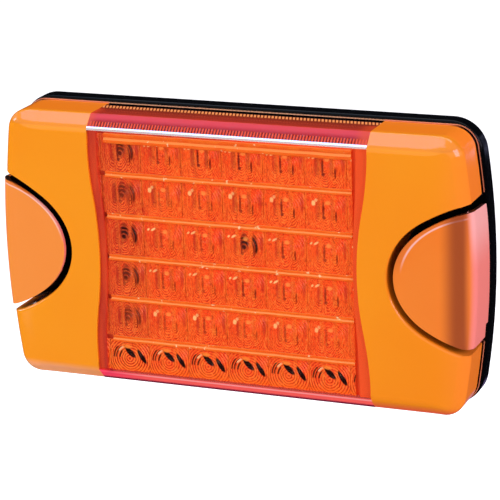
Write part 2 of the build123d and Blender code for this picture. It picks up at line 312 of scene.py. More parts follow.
def loft(name, loops):
    """A closed skin through loops of the same count of points, capped at both ends."""
    points = [point for loop in loops for point in loop]
    return make_object(name, points, tube_faces(len(loops), len(loops[0])))


def prism(name, outline, low, high):
    """A closed prism on an outline of (x, z) points, between two heights."""
    return loft(name, [[(x, height, z) for x, z in outline] for height in (low, high)])


def rectangle(x, z, half_x, half_z):
    """The corners (x, z) of a rectangle about a centre."""
    signs = ((-1, -1), (1, -1), (1, 1), (-1, 1))
    return [(x + sign_x * half_x, z + sign_z * half_z) for sign_x, sign_z in signs]


def weigh_normals(piece):
    """Keeps large flat faces flat beside rounded edges."""
    modifier = piece.modifiers.new("weigh", "WEIGHTED_NORMAL")
    modifier.keep_sharp = True
    modifier.weight = 100


def bake_modifiers(piece):
    """Applies the piece's modifiers to its mesh."""
    bpy.context.view_layer.update()
    graph = bpy.context.evaluated_depsgraph_get()
    mesh = bpy.data.meshes.new_from_object(piece.evaluated_get(graph))
    piece.modifiers.clear()
    piece.data = mesh


def combine(piece, tool, operation="DIFFERENCE"):
    """Cuts the piece with the tool, or joins them, and removes the tool."""
    modifier = piece.modifiers.new("combine", "BOOLEAN")
    modifier.operation = operation
    modifier.solver = "EXACT"
    modifier.object = tool
    bake_modifiers(piece)
    bpy.data.objects.remove(tool)
    tidy_mesh(piece)


def on_its_side(piece, side):
    """Turns a right-hand piece into a left-hand one if it belongs on the left."""
    if side == "left":
        piece.data.transform(Matrix.Scale(-1, 4, (1, 0, 0)))
        piece.data.flip_normals()
    return piece


def dress(piece, body, material, slot, *replaced):
    """Gives a finished piece its material and its body, and hides the nodes that it stands for."""
    piece.data.materials.clear()
    piece.data.materials.append(material)
    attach(piece, body)
    if replaced:
        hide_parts(*replaced)


# -------- material nodes
def feed(tree, slot, value):
    """Sets a socket, or links a field to it."""
    if isinstance(value, Field):
        tree.links.new(value.socket, slot)
    else:
        slot.default_value = value


def field(tree, kind, output, inputs=None, **settings):
    """A field from a new shader node of this kind; inputs go by name or number."""
    node = tree.nodes.new(f"ShaderNode{kind}")
    for name, value in settings.items():
        setattr(node, name, value)
    for slot, value in (inputs or {}).items():
        feed(tree, node.inputs[slot], value)
    return Field(tree, node.outputs[output])


def operator(name):
    """A method of Field that does this operation."""
    return lambda self, *others: self.math(name, *others)


class Field:
    """A number that varies over a surface, with arithmetic, or any socket of a node tree."""

    def __init__(self, tree, socket):
        self.tree = tree
        self.socket = socket

    def math(self, operation, *others):
        inputs = dict(enumerate((self, *others)))
        return field(self.tree, "Math", 0, inputs, operation=operation)

    __add__ = operator("ADD")
    __sub__ = operator("SUBTRACT")
    __mul__ = operator("MULTIPLY")
    __truediv__ = operator("DIVIDE")
    __abs__ = operator("ABSOLUTE")

    def __neg__(self):
        return self * -1

    def inverse(self):
        return -self + 1

    def larger(self, *others):
        """The largest of this field and the others."""
        largest = self
        for other in others:
            largest = largest.math("MAXIMUM", other)
        return largest

    def wave(self, pitch):
        """A sine wave from -1 to 1 that repeats once in each pitch."""
        return (self * (2 * math.pi / pitch)).math("SINE")

    def step(self, low, high):
        """0 below low, 1 above high, smooth between; low above high turns it round."""
        inputs = {
            "Value": self,
            "From Min": min(low, high),
            "From Max": max(low, high),
            "To Min": float(low > high),
            "To Max": float(low <= high),
        }
        return field(self.tree, "MapRange", "Result", inputs, interpolation_type="SMOOTHSTEP")

    def band(self, centre, half, soft):
        """1 within half of centre, fading to 0 over soft."""
        return abs(self - centre).step(half + soft, half)

    def parts(self):
        """The three parts of a vector."""
        return [field(self.tree, "SeparateXYZ", part, {0: self}) for part in range(3)]


def distance(first, second):
    """The length of a vector given by two fields."""
    return (first * first + second * second).math("SQRT")


def srgb(red, green, blue):
    """The linear values of a colour given as it looks on a screen, 0 to 255."""
    def linear(value):
        share = value / 255
        return share / 12.92 if share <= 0.04045 else ((share + 0.055) / 1.055) ** 2.4
    return (linear(red), linear(green), linear(blue), 1.0)


class Material:
    """A node material round one Principled shader; colours are screen values, 0 to 255."""

    def __init__(self, name):
        self.material = bpy.data.materials.new(name)
        self.material.use_nodes = True
        self.tree = self.material.node_tree
        self.shader = self.tree.nodes["Principled BSDF"]
        self.output = self.tree.nodes["Material Output"]
        self.colour = None

    def set(self, **values):
        """Sets inputs of the shader; an underscore in a name stands for a space."""
        for name, value in values.items():
            feed(self.tree, self.shader.inputs[name.replace("_", " ")], value)

    def axes(self):
        """The surface's place as three fields in millimetres: x, height, z."""
        x, y, z = field(self.tree, "TexCoord", "Object").parts()
        return x / MM, y / -MM, z / MM

    def facing(self):
        """The surface's normal in the lamp's frame as three fields."""
        return field(self.tree, "TexCoord", "Normal").parts()

    def enclosed(self, reach):
        """1 deep in a gap between pieces, 0 in the open."""
        inputs = {"Distance": reach * MM}
        return field(self.tree, "AmbientOcclusion", "AO", inputs, samples=12).step(0.92, 0.72)

    def noise(self, per_metre, detail=3.0, roughness=0.5, stretch=(1, 1, 1)):
        """Soft noise from 0 to 1, with this many features a metre."""
        place = field(self.tree, "TexCoord", "Object")
        inputs = {
            "Vector": field(self.tree, "Mapping", 0, {"Vector": place, "Scale": stretch}),
            "Scale": per_metre,
            "Detail": detail,
            "Roughness": roughness,
        }
        return field(self.tree, "TexNoise", "Fac", inputs)

    def blend(self, amount, first, second):
        """From first to second with amount; each a field, 3 screen values or 4 linear ones."""
        inputs = {"Factor": amount}
        for slot, colour in ((6, first), (7, second)):
            screen = isinstance(colour, tuple) and len(colour) == 3
            inputs[slot] = srgb(*colour) if screen else colour
        return field(self.tree, "Mix", 2, inputs, data_type="RGBA")

    def paint(self, *layers):
        """Lays each layer's colour over the last, where its amount is above 0."""
        for amount, colour in layers:
            self.colour = self.blend(amount, self.colour, colour)

    def bump(self, height, depth, strength):
        """Fine relief of this depth."""
        inputs = {"Strength": strength, "Distance": depth * MM, "Height": height}
        self.set(Normal=field(self.tree, "Bump", 0, inputs))

    def finish(self, roughness, **values):
        """Sets the painted colour, the roughness and more, and returns the material."""
        self.set(Base_Color=self.colour, Roughness=roughness, **values)
        return self.material

    def plastic(self, roughness, level=0.5, glow=0.0):
        """Finishes it as a plastic with this specular level, which may glow in its colour as
        painted light.
        """
        self.set(IOR=plastic_ior, Specular_IOR_Level=level)
        if glow:
            self.set(Emission_Color=self.colour, Emission_Strength=glow)
        return self.finish(roughness)


plastic_ior = 1.49
rib_pitch = 0.94
dot_pitch = 1.1


def under_lip(height):
    """1 in the thin gap between the lip and the black rim."""
    return height.step(5.45, 5.4) * height.step(5.1, 5.12)


def gloss_orange():
    """Polished opaque orange, with painted shade on its walls and groove, and painted highlights.
    """
    made = Material("orange_gloss")
    x, height, z = made.axes()
    low_right = (x * 0.6 - z).step(20, 75)
    upper_bevel_shade = z.step(37.2, 38.0) * height.step(17.5, 18.2)
    left = x.step(-20, -60)
    low_edge_shade = (-z).step(37.8, 41.2) * left.inverse()
    low_left_highlight = (-z).step(36.2, 38.6) * left * height.step(15.0, 18.0)
    low_left_highlight = low_left_highlight.larger(x.step(-71.5, -74.5) * z.step(5, -15))
    groove = height.band(6.2, 0.62, 0.06).larger(under_lip(height)) * abs(x).step(62, 67)
    lip = height.step(5.75, 5.65) * groove.inverse()
    drift = made.noise(22, 2.0)
    made.colour = made.blend(drift.step(0.35, 0.7), (250, 153, 27), (249, 147, 25))
    made.paint(
        # painted shade: the walls below the front are painted a deeper orange
        (height.step(19.5, 15.5) * 0.8, (250, 126, 26)),
        (low_right * 0.5, (246, 132, 20)),
        # painted light: the right end is painted a pinker orange where the side light falls
        (x.step(62, 75) * 0.7, (255, 142, 48)),
        # painted shade on the upper bevel, under the top light's highlight
        (upper_bevel_shade * 0.8, (226, 132, 26)),
        # painted shade along the bottom edge
        (low_edge_shade * 0.8, (236, 84, 60)),
        # painted highlight on the lower left bevel and the left end's lower part
        (low_left_highlight * 0.65, (255, 178, 132)),
        # painted shade in the groove behind the lip
        (groove, (30, 6, 6)),
        # painted highlight on the thin lip
        (lip * 0.7, (226, 140, 108)),
    )
    made.bump(made.noise(160, 2.0), 0.02, 0.25)
    scuff = made.noise(900, 4.0, 0.6).step(0.3, 0.9)
    return made.plastic(scuff * 0.06 + 0.1, 0.4)


def satin_orange():
    """Satin opaque orange of the screw covers, with a painted sheen on their sides and painted
    shade in the gap.
    """
    made = Material("orange_satin")
    x, height, z = made.axes()
    side_on, _, upright = made.facing()
    left_cover = x.step(10, -10)
    across = (abs(x) - pocket_centre_x) / cap_reach_x
    upward = z / (cap_reach_z * (1 + 0.5 * pocket_flare))
    reach = distance(across, upward)
    highlight_line = reach.band(0.955, 0.005, 0.012) * z.step(1.0, 9.0) * height.step(19.5, 20.5)
    outer_edge_shade = reach.step(0.96, 0.985) * z.step(0.0, 6.0)
    shade = x.step(64.0, 69.4) * x.step(73.4, 71.0)
    side_sheen = made.blend(z.step(2, 17), (248, 140, 124), (252, 184, 168))
    turned_in = (x * side_on).step(-40, -60)
    inner = abs(x).step(69, 68).larger(abs(upright).step(0.4, 0.6), turned_in)
    inner = inner * height.step(20.9, 20.4) * made.enclosed(9.0)
    drift = made.noise(30, 2.0)
    made.colour = made.blend(drift.step(0.3, 0.7), (246, 133, 32), (244, 126, 24))
    made.paint(
        # painted light: the left cover is painted paler than the right
        (left_cover * 0.7, (250, 150, 56)),
        # painted highlight just inside the upper edge
        (highlight_line * 0.7, (255, 206, 190)),
        # painted shade on the rounding of the upper edge
        (outer_edge_shade * 0.5, (214, 104, 34)),
        (shade * 0.85, (150, 62, 20)),
        # painted pink sheen down the side walls, paler towards the top
        (abs(side_on).step(0.62, 0.95) * 0.9, side_sheen),
        # painted shade deep in the gap round each cover
        (inner * 0.99, made.blend(left_cover, (36, 12, 8), (12, 5, 5))),
    )
    grain = made.noise(5200, 3.0, 0.6)
    made.bump(grain, 0.012, 0.35)
    return made.plastic(grain * 0.1 + 0.3, 0.4)


def black_plastic():
    """Black moulded plastic with a faint grain, duller and paler on the mounting face."""
    made = Material("black_plastic")
    rear = made.axes()[1].step(0.5, 0.2)
    grain = made.noise(2600, 4.0, 0.6)
    mottle = grain.step(0.3, 0.8)
    made.colour = made.blend(mottle, (3, 4, 5), (10, 11, 13))
    made.paint((rear, made.blend(mottle, (26, 27, 29), (40, 41, 44))))
    made.bump(grain, 0.01, 0.2)
    return made.plastic(grain * 0.06 + 0.08 + rear * 0.3, 0.08)


def plain(name, first, second, roughness, **values):
    """A material with fine colour and roughness variation, for the small inner pieces."""
    made = Material(name)
    grain = made.noise(1500, 4.0, 0.6)
    made.colour = made.blend(grain.step(0.3, 0.75), first, second)
    made.bump(grain, 0.02, 0.3)
    return made.finish(grain * 0.15 + roughness, **values)


def clear_window():
    """Clear red-orange: see-through in front, deep in its walls, with a bright front edge and
    painted light and shade.
    """
    made = Material("window_clear")
    tree = made.tree
    x, height, z = made.axes()
    low = -z
    from_middle = abs(z)
    wall = from_middle.step(37.35, 37.75)
    upper = z.step(0, 1)
    edge = from_middle.band(37.75, 0.45, 0.15) * height.step(21.2, 21.5) * (upper * 0.85)
    rib_row = from_middle.band(38.75, 0.65, 0.25) * height.step(18.5, 19.0) * upper
    ribs = x.wave(rib_pitch).step(-0.35, 0.35)
    faint = (x + height * 0.5).wave(rib_pitch).step(-0.6, 0.8) * height.step(18.2, 17.6)
    rear = height.step(11.3, 10.3)
    dots = (x - height * 0.34).wave(dot_pitch).step(-0.2, 0.8)
    groove = height.band(6.85, 1.25, 0.1).larger(under_lip(height))
    lip = height.step(5.85, 5.75) * groove.inverse()
    low_highlight_line = low.band(38.3, 0.2, 0.25) * height.step(18.0, 19.0)
    low_edge_shade = low.step(39.9, 40.9)
    left_end_reflection = (-x).step(24, 42) * low.step(37, 38) * low_edge_shade.inverse()
    ends = x.step(38.5, 42.5).larger((-x).step(40.5, 43.5)) * height.step(11.8, 12.5) * upper
    # painted shade: darker towards the rear, for the dark inside seen through the walls
    made.colour = made.blend(height.step(8.5, 17.0), (150, 56, 30), (210, 66, 44))
    made.paint(
        # painted pink reflection on the bevels
        (height.step(17.8, 18.5), (230, 68, 74)),
        (height.step(18.8, 20.3) * upper, (158, 16, 12)),
        # painted pink reflection on the lower bevel
        (low.step(37, 38), (250, 96, 88)),
        # real ribs behind, painted as lit and dark teeth: painted light and shade
        (rib_row, made.blend(ribs, (242, 88, 36), (112, 6, 6))),
        (faint * 0.45, (100, 24, 18)),
        # the rear serrations, painted as lit and dark dots: painted light and shade
        (rear, made.blend(dots, (255, 156, 84), (120, 34, 18))),
        # painted shade in the groove and the gap under the lip
        (groove, (8, 3, 4)),
        # painted highlight on the thin lip
        (lip * 0.7, (255, 196, 150)),
        # painted highlight along the lower bevel
        (low_highlight_line * 0.7, (255, 176, 168)),
        # painted shade, a dark band along the bottom edge
        (low_edge_shade, (84, 8, 50)),
        # painted pink reflection on the lower bevel's left end
        (left_end_reflection * 0.8, (246, 50, 96)),
        (ends * 0.75, (240, 84, 40)),
    )
    grain = made.noise(500, 3.0, 0.6, (0.2, 1, 1))
    # a painted glow along the bottom of the window, which is no lamp
    made.plastic(grain * 0.05 + 0.08, 0.16, low.step(36, 38) * 0.4)
    tint = made.blend(wall, (1.0, 0.93, 0.82, 1.0), (0.75, 0.2, 0.12, 1.0))
    see_through = field(tree, "BsdfTransparent", 0, {"Color": tint})
    shader = Field(tree, made.shader.outputs[0])
    inside = field(tree, "MixShader", 0, {0: wall * (rear * 0.3 + 0.7), 1: see_through, 2: shader})
    mirror = field(tree, "BsdfGlossy", 0, {"Roughness": 0.04})
    turned_away = field(tree, "LayerWeight", "Facing", {"Blend": 0.5})
    share = (turned_away.math("POWER", 5.0) * 0.96 + 0.04) * wall.inverse()
    skin = field(tree, "MixShader", 0, {0: share.larger(edge * 0.75), 1: inside, 2: mirror})
    feed(tree, made.output.inputs["Surface"], skin)
    return made.material


# -------- end panels
def lip_and_groove(top):
    """The low part of the cover's profile, as (inset, height): a thin lip, a groove, the wall."""
    return [
        (lip_outer, rim_depth),
        (lip_outer, lip_top),
        (lip_inner, lip_top),
        (lip_inner, groove_floor),
        (groove_inset, groove_floor),
        (groove_inset, top),
        (wall_inset, top),
    ]


def cover_profile(top, chamfer, *roundings):
    """The cover's profile (inset, height); roundings of wall foot, chamfer foot and top."""
    corners = lip_and_groove(top) + [
        (wall_inset, lamp_depth - chamfer),
        (wall_inset + chamfer, lamp_depth),
        (half_height / 2, lamp_depth),
    ]
    radii = [0, lip_rounding, lip_rounding, 0, 0, 0, *roundings, 0]
    return rounded_path(corners, radii, 8)[:-1]


crisp_profile = cover_profile(closed_groove_top, bevel, 0.1, 1.2, 3.6)
side_chamfer = side_radius * (2 - math.sqrt(2))
rolled_profile = cover_profile(groove_top, side_chamfer, 0.2, side_radius, side_radius)


def panel_solid(name):
    """The whole cover as a solid, bevelled above and below and rolled over at its ends."""
    frames = outline_frames()
    loops = []
    for crisp, rolled in zip(crisp_profile, rolled_profile):
        loop = []
        for point in frames:
            along = (abs(drawn_in(point, 0)[0]) - turn_start) / (turn_end - turn_start)
            inset, height = Vector(crisp).lerp(Vector(rolled), smooth(along))
            x, z = drawn_in(point, inset)
            loop.append((x, height, z))
        loops.append(loop)
    return loft(name, loops)


def cover_cavity(centre_x):
    """The hollow behind the cover, without the screw pocket and its wall."""
    loops = []
    for inset, height in (
        (cavity_inset, rim_depth - overcut),
        (cavity_inset, inner_face - inner_bevel),
        (cavity_inset + inner_bevel, inner_face),
    ):
        outline = [drawn_in(point, inset) for point in outline_frames()]
        loops.append([(x, height, z) for x, z in outline])
    cavity = loft("cavity", loops)
    wall = prism("wall", oval(centre_x, pocket_wall), 0, lamp_depth + overcut)
    combine(cavity, wall)
    return cavity


def screw_pocket(centre_x):
    """The right-hand screw pocket, rounded at its front edge, most at its lower inner corner."""
    loops = []
    for turn in np.linspace(0, math.pi / 2, 7):
        loop = []
        for x, z in oval(centre_x, 0):
            across = Vector(((x - centre_x) / pocket_radius_x, z / pocket_radius_z))
            corner = max(0.0, -0.7 * across.x - 0.7 * across.y) ** 2
            rounding = pocket_rounding + pocket_corner_rounding * corner
            grown = rounding * (1 - math.cos(turn))
            height = lamp_depth - rounding * (1 - math.sin(turn))
            loop.append((x + grown * across.x, height, z + grown * across.y))
        loops.append(loop)
    below = [(x, 0.0, z) for x, _, z in loops[0]]
    above = [(x, lamp_depth + overcut, z) for x, _, z in loops[-1]]
    return loft("pocket", [below] + loops + [above])


def window_opening(end):
    """All that lies on the window's side of its end, 0 for the left and 1 for the right one."""
    rows = np.linspace(half_height + overcut, -half_height - overcut, 90)
    outline = [(abs(window_ends(z)[end]), z) for z in rows]
    outline += [(-half_width - overcut, z) for z in (rows[-1], rows[0])]
    return prism("window", outline, 0, lamp_depth + overcut)


def end_panel(side):
    """One end of the cover, less its cavity, the window and the screw pocket."""
    panel = panel_solid(f"{side}_panel")
    centre_x = pocket_centre_x - pocket_drift * drifts[side]
    combine(panel, cover_cavity(centre_x))
    combine(panel, screw_pocket(centre_x))
    combine(panel, window_opening(1 if side == "right" else 0))
    with opened(panel) as work:
        for x in np.arange(crown_start, half_width, 1.0):
            slice_mesh(work, (1, 0, 0), x * MM)
        for vert in work.verts:
            share = min(1.0, max(0.0, (-vert.co.y / MM - crown_foot) / crown_rise))
            vert.co.y += crown(vert.co.x / MM) * share * MM
    tidy_mesh(panel)
    return on_its_side(panel, side)


drifts = {"right": 1, "left": -1}
orange = gloss_orange()
for side in drifts:
    panel = end_panel(side)
    weigh_normals(panel)
    dress(panel, "lamp", orange, "orange_gloss", f"{side}_end_panel")


# -------- screw covers
cover_crease = 60
cover_sharp = 40
leg_top = cap_front - 0.7 * cap_thickness


def cap_side_x(z):
    """Where a cover's side wall stands at z."""
    bow = end_bow_radius - cap_inset
    return half_width - end_bow_radius + math.sqrt(bow**2 - z**2)


def cap_inner_x(centre_x, z):
    """Where a cover's round inner edge stands at z."""
    x = centre_x - cap_reach_x
    for _ in range(12):
        upward = z / (cap_reach_z * flare(x))
        x = centre_x - cap_reach_x * math.sqrt(max(0.0, 1 - upward**2))
    return x


def cap_section(centre_x, z):
    """A cover's section (x, height) at z, from its inner edge over the roll and down its side."""
    roll_x = cap_side_x(z) - cap_roll_radius
    roll_height = cap_front - crown(roll_x)
    front = np.linspace(cap_inner_x(centre_x, 0) - overcut, roll_x, 60)
    section = [(x, cap_front - crown(x)) for x in front]
    for angle in np.linspace(0, math.pi / 2, 20)[1:]:
        fall = cap_roll_radius * (1 - math.cos(angle))
        section.append((roll_x + cap_roll_radius * math.sin(angle), roll_height - fall))
    section.append((cap_side_x(z), cap_rear))
    start = cap_inner_x(centre_x, z)
    while section[1][0] <= start and len(section) > 2:
        section.pop(0)
    (x0, h0), (x1, h1) = section[0], section[1]
    share = (start - x0) / (x1 - x0) if x1 > x0 else 0.0
    section[0] = (start, h0 + (h1 - h0) * share)
    return section, roll_height


def cap_end_z(centre_x):
    """The height up the lamp at which a cover's inner edge meets its side."""
    low, high = 0.0, cap_reach_z * (1 + pocket_flare)
    for _ in range(60):
        middle = (low + high) / 2
        if cap_inner_x(centre_x, middle) < cap_side_x(middle):
            low = middle
        else:
            high = middle
    return low


def cap_skin(centre_x, rows=72, columns=96):
    """A right-hand cover's outer surface; its side wall's upper rear corner is drawn in."""
    end_z = cap_end_z(centre_x)
    points = []
    for row in range(rows + 1):
        z = end_z * math.sin(math.pi / 2 * (2 * row / rows - 1))
        section, roll_height = cap_section(centre_x, z)
        distances = np.linspace(0, travel(section)[-1], columns + 1)
        for x, height in along_path(section, distances):
            down = smooth((roll_height - height) / (roll_height - cap_rear))
            corner = min(1.0, max(0.0, 1 - (height - cap_rear) / cap_corner_radius))
            drawn = cap_wall_draw * down + cap_corner_radius * (1 - math.sqrt(1 - corner**2))
            points.append((x, height, z - max(0.0, z / end_z) ** 3 * drawn))
    return points, grid_faces(rows + 1, columns)


def screw_cover(side):
    """A cover: its skin thickened inwards, with rounded edges, a notch and two legs."""
    points, faces = cap_skin(pocket_centre_x - pocket_drift * drifts[side])
    cover = make_object(f"{side}_cover_shell", points, faces, cover_crease)
    if sum(face.normal.y for face in cover.data.polygons) > 0:
        cover.data.flip_normals()
    shell = cover.modifiers.new("shell", "SOLIDIFY")
    shell.thickness = cap_thickness * MM
    shell.offset = -1
    edge = cover.modifiers.new("edge", "BEVEL")
    edge.width = cap_edge_radius * MM
    edge.segments = 4
    edge.limit_method = "ANGLE"
    edge.angle_limit = math.radians(cover_crease)
    bake_modifiers(cover)
    tidy_mesh(cover, cover_sharp)
    notch = rectangle(half_width, -cap_reach_z, notch_width, notch_width)
    combine(cover, prism("notch", notch, 0, cap_rear + notch_height))
    for z in (-leg_z, leg_z):
        leg = rectangle(leg_x, z, leg_width / 2, leg_thickness / 2)
        combine(cover, prism("leg", leg, leg_tip, leg_top), "UNION")
    tidy_mesh(cover, cover_sharp)
    return on_its_side(cover, side)


satin = satin_orange()
for side in drifts:
    cover = screw_cover(side)
    weigh_normals(cover)
    dress(cover, f"{side}_cover", satin, "orange_satin", f"{side}_screw_cover")


# -------- window
front_rows = 60
window_columns = 188
window_foot_radius = 0.25
window_edge_radius = 1.1
inner_turn = 0.55
rib_rise = 0.45
rib_clear = 1.0
clear_layer = 0.55


def inner_section(outer_section):
    """The inner face's points (z, height) that match those of the outer face's section."""
    turn = half_height - cavity_inset - inner_turn * inner_bevel
    path = [
        (half_height - cavity_inset, rim_depth),
        (half_height - cavity_inset, inner_face - inner_bevel),
        (turn, inner_face - (1 - inner_turn) * inner_bevel),
        (turn - 0.1, lamp_depth - clear_layer),
    ]
    travelled = travel(outer_section)
    return along_path(path, travelled / travelled[-1] * travel(path)[-1])


def whole_section(section, front_height):
    """The upper half's section (z, height), carried on over the front and the lower half."""
    front_z = section[-1][0]
    front = [(z, front_height) for z in np.linspace(front_z, -front_z, front_rows + 1)[1:-1]]
    return section + front + [(-z, height) for z, height in reversed(section)]


def window_rows():
    """Matching rows (z, height) of the window's outer and inner faces, from the top's rear."""
    corners = [(half_height - inset, height) for inset, height in lip_and_groove(groove_top)]
    corners += [
        (half_height - wall_inset, lamp_depth - bevel),
        (half_height - wall_inset - bevel, lamp_depth),
        (0, lamp_depth),
    ]
    radii = [0] * 7 + [window_foot_radius, window_edge_radius, 0]
    outer = rounded_path(corners, radii)[:-1]
    inner = inner_section(outer)
    return whole_section(outer, lamp_depth), whole_section(inner, lamp_depth - clear_layer)


def window_skin():
    """The clear window, closed, with fine ribs along the inside of its top and bottom walls."""
    outer, inner = window_rows()
    rows = outer + inner[::-1]
    points = []
    for index, (z, height) in enumerate(rows):
        ribbed = index >= len(outer) and lip_top < height < inner_face - rib_clear
        left, right = window_ends(z)
        for column in range(window_columns + 1):
            x = left + (right - left) * column / window_columns
            lowered = rib_rise if ribbed and column % 2 else 0.0
            points.append((x, height, z - math.copysign(lowered, z)))
    faces = grid_faces(len(rows), window_columns, closed=True)
    for row in range(len(outer) - 1):
        across = len(rows) - 1 - row
        for column in (0, window_columns):
            corners = (row, row + 1, across - 1, across)
            faces.append(tuple(corner * (window_columns + 1) + column for corner in corners))
    return make_object("window_skin", points, faces, 20)


window = window_skin()
weigh_normals(window)
dress(window, "lamp", clear_window(), "window", "centre_lens")
window.visible_shadow = False


# -------- lens cells behind the window
ring_pitch = 0.8
ring_rise = 0.16
ring_slope = 0.82
ring_hole = 0.05
cell_clear = 0.05
cell_overlap = 0.3
flute_rise = 0.32
flute_width = cell_pitch / 3
array_shift = -1.5
ledge_half = 0.95
ledge_reach = 38.5
ledge_bend = 0.25
ledge_lift = 0.07
ledge_drop = 0.15
top_ledge_z = 35.0
top_ledge_scale = 1.6
margin_height = 20.0
margin_thickness = 0.7
margin_clear = 0.2
strip_height = 21.3
strip_clear = 0.04
plate_height = 20.3
ledge_root = plate_height - 0.4
plate_left, plate_right, plate_end = -41.9, 38.6, 37.4
plate_rows = np.linspace(plate_end, -plate_end, 75)
row_tops = [36.95 - cell_pitch * row for row in range(cell_count)]


def lens_cell(segments=72):
    """One square cell about the origin: ring-shaped prisms on three shallow flutes."""
    work = bmesh.new()
    turns = once_round(segments)
    loops = []
    for ring in range(int(cell_pitch / math.sqrt(2) / ring_pitch) + 2):
        for share, rise in ((0.0, 0.0), (ring_slope, ring_rise)):
            radius = max((ring + share) * ring_pitch, ring_hole)
            circle = [(radius * math.cos(turn), rise, radius * math.sin(turn)) for turn in turns]
            loops.append([work.verts.new(place) for place in circle])
    work.faces.new(loops[0])
    for low, high in zip(loops, loops[1:]):
        for corners in zip(low, low[1:] + low[:1], high[1:] + high[:1], high):
            work.faces.new(corners)
    half_x = cell_pitch / 2 - cell_clear
    half_z = cell_pitch / 2 - ledge_half + cell_overlap
    for axis, reach, clear in (
        (Vector((1, 0, 0)), half_x, True),
        (Vector((0, 0, 1)), half_z, True),
        (Vector((1, 0, 0)), flute_width / 2, False),
    ):
        for normal in (axis, -axis):
            slice_mesh(work, normal, reach, clear)
    for vert in work.verts:
        share = ((vert.co.x + cell_pitch / 2) / flute_width) % 1 - 0.5
        vert.co.y += flute_rise * (1 - (2 * share) ** 2)
    return mesh_lists(work)


def lens_cells():
    """All the cells, cut to the window: flutes and rings stand a little left of the ledges."""
    cell_points, cell_faces = lens_cell()
    work = bmesh.new()
    for top in row_tops:
        for column in range(-1, cell_count + 1):
            x = (column + 0.5) * cell_pitch - cell_count * cell_pitch / 2 + array_shift
            place = Vector((x, plate_height, top - cell_pitch / 2))
            verts = [work.verts.new(place + Vector(point)) for point in cell_points]
            for face in cell_faces:
                work.faces.new([verts[index] for index in face])
    for normal, reach in (
        ((1, 0, 0), plate_right),
        ((-1, 0, 0), -plate_left),
        ((0, 0, 1), plate_end),
        ((0, 0, -1), plate_end),
    ):
        slice_mesh(work, normal, reach, True)
    cells = make_object("lens_cells", *mesh_lists(work), 12)
    with opened(cells) as work:
        backwards = [face for face in work.faces if face.normal.y > 0]
        bmesh.ops.reverse_faces(work, faces=backwards)
    return cells


def lens_margin():
    """The plain inner face round the cells, with the window's hourglass outline."""
    outline = [(window_ends(z)[1] - margin_clear, z) for z in plate_rows]
    outline += [(window_ends(z)[0] + margin_clear, z) for z in reversed(plate_rows)]
    return prism("lens_margin", outline, margin_height - margin_thickness, margin_height)


def side_strip(name, end, narrowest, lean):
    """A raised strip at one end of the window; lean is how far its inner edge follows it."""
    clear = strip_clear if end == 0 else -strip_clear
    outer = [(window_ends(z)[end] + clear, z) for z in plate_rows]
    waist = window_ends(0)[end] + clear
    inner = [(waist - narrowest + lean * (x - waist), z) for x, z in outer]
    return prism(name, outer + inner[::-1], margin_height, strip_height)


def ledges():
    """A double step above each row of cells, a little lower at every other half cell."""
    stations = []
    for column in range(2 * cell_count + 1):
        x = -ledge_reach + column * ledge_reach / cell_count
        stations += [x - ledge_bend, x + ledge_bend]
    stations[0], stations[-1] = -ledge_reach, ledge_reach
    section = (
        (0.8, ledge_root),
        (0.8, 20.95),
        (0.45, 21.0),
        (0.05, 20.75),
        (-0.35, 21.2),
        (-0.75, 21.25),
        (-0.95, 21.1),
        (-1.0, ledge_root),
    )
    points, faces = [], []
    for row, top in enumerate(row_tops):
        middle, scale = (top_ledge_z, top_ledge_scale) if row == 0 else (top - ledge_drop, 1.0)
        faces += tube_faces(len(stations), len(section), len(points))
        for index, x in enumerate(stations):
            lift = ledge_lift if (index // 2) % 2 else 0.0
            points += [(x, height, middle + up * scale - lift) for up, height in section]
    return make_object("ledges", points, faces, 20)


class CellPlace:
    """For a material: the cell's column and row, and u and v in it from its ring centre."""

    def __init__(self, made):
        x, _, z = made.axes()
        across = (x + (cell_count * cell_pitch / 2 - array_shift)) / cell_pitch
        down = (-z + row_tops[0]) / cell_pitch
        self.tree = made.tree
        self.column = across.math("FLOOR")
        self.row = down.math("FLOOR")
        self.u = (across.math("FRACT") - 0.5) * cell_pitch
        self.v = (down.math("FRACT") - 0.5) * -cell_pitch
        self.radius = distance(self.u, self.v)
        self.rows = [self.row.math("COMPARE", float(row), 0.1) for row in range(cell_count)]
        self.lowest = self.rows[-1]
        self.upper = self.lowest.inverse()
        self.leftmost = self.column.math("COMPARE", 0.0, 0.1)
        self.far_left = x.step(-14, -40)
        self.upper_left = (z - x * 0.5).step(-26, 40)

    def chance(self, seed):
        """A number from 0 to 1 that differs from cell to cell."""
        place = field(self.tree, "CombineXYZ", 0, {0: self.column, 1: self.row, 2: seed})
        return field(self.tree, "TexWhiteNoise", "Value", {"Vector": place})

    def spot(self, u, v, half_u, half_v, soft, turn=0.0):
        """A rounded mark centred at u, v, turned by degrees."""
        cos, sin = math.cos(math.radians(turn)), math.sin(math.radians(turn))
        du, dv = self.u - u, self.v - v
        along = (du * cos + dv * sin) / half_u
        across = (dv * cos - du * sin) / half_v
        return distance(along, across).step(1 + soft, 1 - soft)

    def spots(self, *marks):
        """Several rounded marks as one field."""
        first, *others = [self.spot(*mark) for mark in marks]
        return first.larger(*others)


